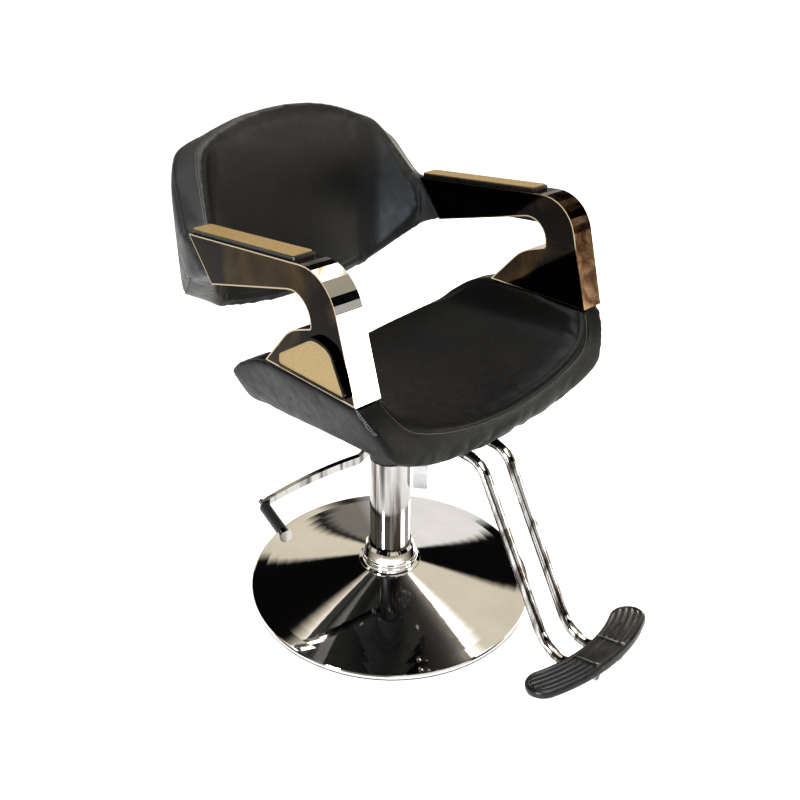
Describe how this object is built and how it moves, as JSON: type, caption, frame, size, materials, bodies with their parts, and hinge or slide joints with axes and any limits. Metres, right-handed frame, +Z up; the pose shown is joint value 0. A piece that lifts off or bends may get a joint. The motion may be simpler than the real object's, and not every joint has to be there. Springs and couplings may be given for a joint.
{
  "type": "salon_styling_chair",
  "caption": "Hydraulic salon styling chair with bucket seat, bright-banded box arms, winged back, foot lever and crescent footrest",
  "frame": {"origin": "centre of the round base on the floor", "axes": "+Z up along the column, -Y the way the sitter faces, +X to the sitter's left"},
  "size_m": [0.618, 0.9137, 0.9655],
  "materials": {
    "chrome": "polished",
    "smoked_metal": "smoked mirror polish",
    "leather": "semi-matt black upholstery",
    "tan_inlay": "fine speckled tan laminate",
    "black_plastic": "moulded satin",
    "black_rubber": "moulded, matt",
    "steel": "machined",
    "cast_iron": "black painted",
    "black_paint": "black powder coat",
    "bronze": "sintered",
    "plywood": "raw birch plywood"
  },
  "bodies": {
    "base": {"base_cover": "chrome", "base_weight": "cast_iron", "base_ring": "black_rubber", "base_bolts": "steel", "column_collar": "chrome", "column_tube": "chrome", "pump_cylinder": "steel", "guide_bush": "bronze", "column_cap": "black_plastic"},
    "ram": {"ram_rod": "steel", "ram_piston": "steel", "thrust_bearing": "bronze"},
    "seat": {"swivel_head": "black_paint", "seat_plate": "black_paint", "seat_rail_left": "black_paint", "seat_rail_right": "black_paint", "seat_plate_bolts": "steel", "lever_pin": "steel", "side_fin": "steel", "seat_board": "plywood", "seat_cushion": "leather", "seat_front_band": "leather", "seat_rear_band": "leather", "seat_side_left": "leather", "seat_side_right": "leather", "arm_frame_left": "black_paint", "arm_frame_right": "black_paint", "arm_core_left": "plywood", "arm_core_right": "plywood", "arm_band_left": "chrome", "arm_band_right": "chrome", "arm_plate_outer_left": "smoked_metal", "arm_plate_outer_right": "smoked_metal", "arm_plate_inner_left": "smoked_metal", "arm_plate_inner_right": "smoked_metal", "arm_pod_left": "smoked_metal", "arm_pod_right": "smoked_metal", "arm_inlay_left": "tan_inlay", "arm_inlay_right": "tan_inlay", "armrest_pad_left": "black_plastic", "armrest_pad_right": "black_plastic", "armrest_top_left": "tan_inlay", "armrest_top_right": "tan_inlay", "back_board": "plywood", "back_cushion": "leather", "back_rear_pad": "leather", "back_border": "leather", "footrest_tube_left": "chrome", "footrest_tube_right": "chrome", "footrest_saddle": "black_paint", "footrest_clamp": "black_paint", "footrest_bolts": "steel", "foot_plate_core": "black_paint", "foot_plate_pad": "black_rubber"},
    "lever": {"lever_arm": "chrome", "foot_bar": "chrome", "foot_bar_grip": "black_rubber", "foot_bar_cap": "chrome"}
  },
  "joints": [
    {"name": "lift", "type": "slide", "parent": "base", "child": "ram", "axis": [0, 0, 1], "range_m": [0, 0.15]},
    {"name": "swivel", "type": "hinge", "parent": "ram", "child": "seat", "pos_m": [0, 0, 0.355], "axis": [0, 0, 1], "continuous": true},
    {"name": "pump_lever", "type": "hinge", "parent": "seat", "child": "lever", "pos_m": [-0.03583, 0.01779, 0.34], "axis": [-0.4446, -0.8957, 0], "range_deg": [0, 22], "stiffness_Nm_per_rad": 6, "springref_deg": -28.65}
  ]
}
